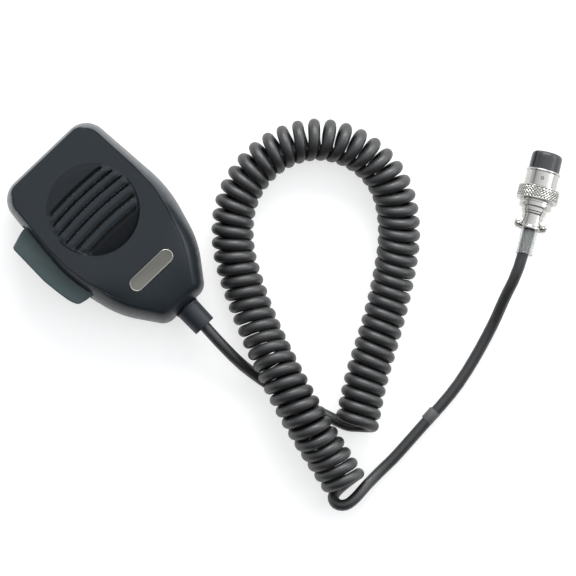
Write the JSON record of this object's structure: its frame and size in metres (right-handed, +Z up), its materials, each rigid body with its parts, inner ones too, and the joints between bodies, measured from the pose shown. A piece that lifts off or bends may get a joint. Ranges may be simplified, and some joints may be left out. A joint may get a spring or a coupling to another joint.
{
  "type": "hand microphone",
  "caption": "Hand microphone lying on its back: slotted round grille, side push-to-talk bar, hang-up stud, long curly cord and screw-ring plug.",
  "frame": {"origin": "on the table below the middle of the microphone (case, bar, stud and strain relief), without its loose cord and plug", "axes": "+Z up through the grille, +Y towards the top of the case, so the cord leaves along -Y; +X away from the push-to-talk bar"},
  "size_m": [0.2086, 0.2111, 0.0303],
  "materials": {
    "case": "fine satin moulded texture",
    "bar": "fine satin moulded texture, grey-green",
    "badge": "satin warm grey with a bright bevelled edge",
    "steel": "plain zinc-plated steel",
    "nickel": "bright nickel plate",
    "cloth": "woven black dust cloth",
    "capsule_can": "drawn aluminium",
    "rubber": "matt black rubber",
    "wire": "PVC wire",
    "board": "green solder mask",
    "component": "moulded components",
    "switch": "glass-filled black nylon",
    "relief": "soft blue-grey moulding",
    "cord": "satin black jacket",
    "insulator": "semi-gloss black phenolic",
    "brass": "plated brass",
    "clear": "clear soft PVC tubing",
    "tape": "worn grey marker tape"
  },
  "bodies": {
    "head": {"front_shell": "case", "rear_shell": "case", "case_screws": "steel", "name_plate": "badge", "hang_stud": "nickel", "stud_screw": "steel", "stud_nut": "steel", "dust_screen": "cloth", "mic_capsule": "capsule_can", "capsule_boot": "rubber", "capsule_leads": "wire", "circuit_board": "board", "board_screws": "steel", "board_parts": "component", "switch_body": "switch", "pivot_pin": "steel", "return_spring": "steel", "strain_relief": "relief", "cord_inner": "cord", "cord_cores": "wire", "cord_clamp": "switch", "clamp_screws": "steel", "plug_insert": "insulator", "plug_contacts": "brass", "plug_body": "nickel", "plug_saddle": "nickel", "saddle_screws": "nickel", "set_screw": "steel", "clear_sleeve": "clear", "cord_lead": "cord", "cord_curl": "cord", "cord_tail": "cord", "tail_band": "tape"},
    "bar": {"ptt_bar": "bar"},
    "plunger": {"switch_plunger": "switch"},
    "washer": {"ring_washer": "steel"},
    "ring": {"coupling_ring": "nickel"}
  },
  "joints": [
    {"name": "bar_press", "type": "hinge", "parent": "head", "child": "bar", "pos_m": [-0.02068, -0.005, 0.0166], "axis": [0, 0, -1], "range_deg": [0, 3.5], "stiffness_Nm_per_rad": 1.2, "springref_deg": -3.44, "deforming": ["return_spring"]},
    {"name": "plunger_press", "type": "slide", "parent": "head", "child": "plunger", "axis": [1, 0, 0], "range_m": [0, 0.00185]},
    {"name": "ring_slide", "type": "slide", "parent": "head", "child": "washer", "axis": [0.8343, 0.5315, -0.1463], "range_m": [0, 0.0105]},
    {"name": "ring_spin", "type": "hinge", "parent": "washer", "child": "ring", "pos_m": [0.15363, -0.11343, 0.0099], "axis": [0.8343, 0.5315, -0.1463], "continuous": true}
  ],
  "couplings": [
    {"joint": "plunger_press", "follows": "bar_press", "m_per_rad": 0.0295}
  ]
}
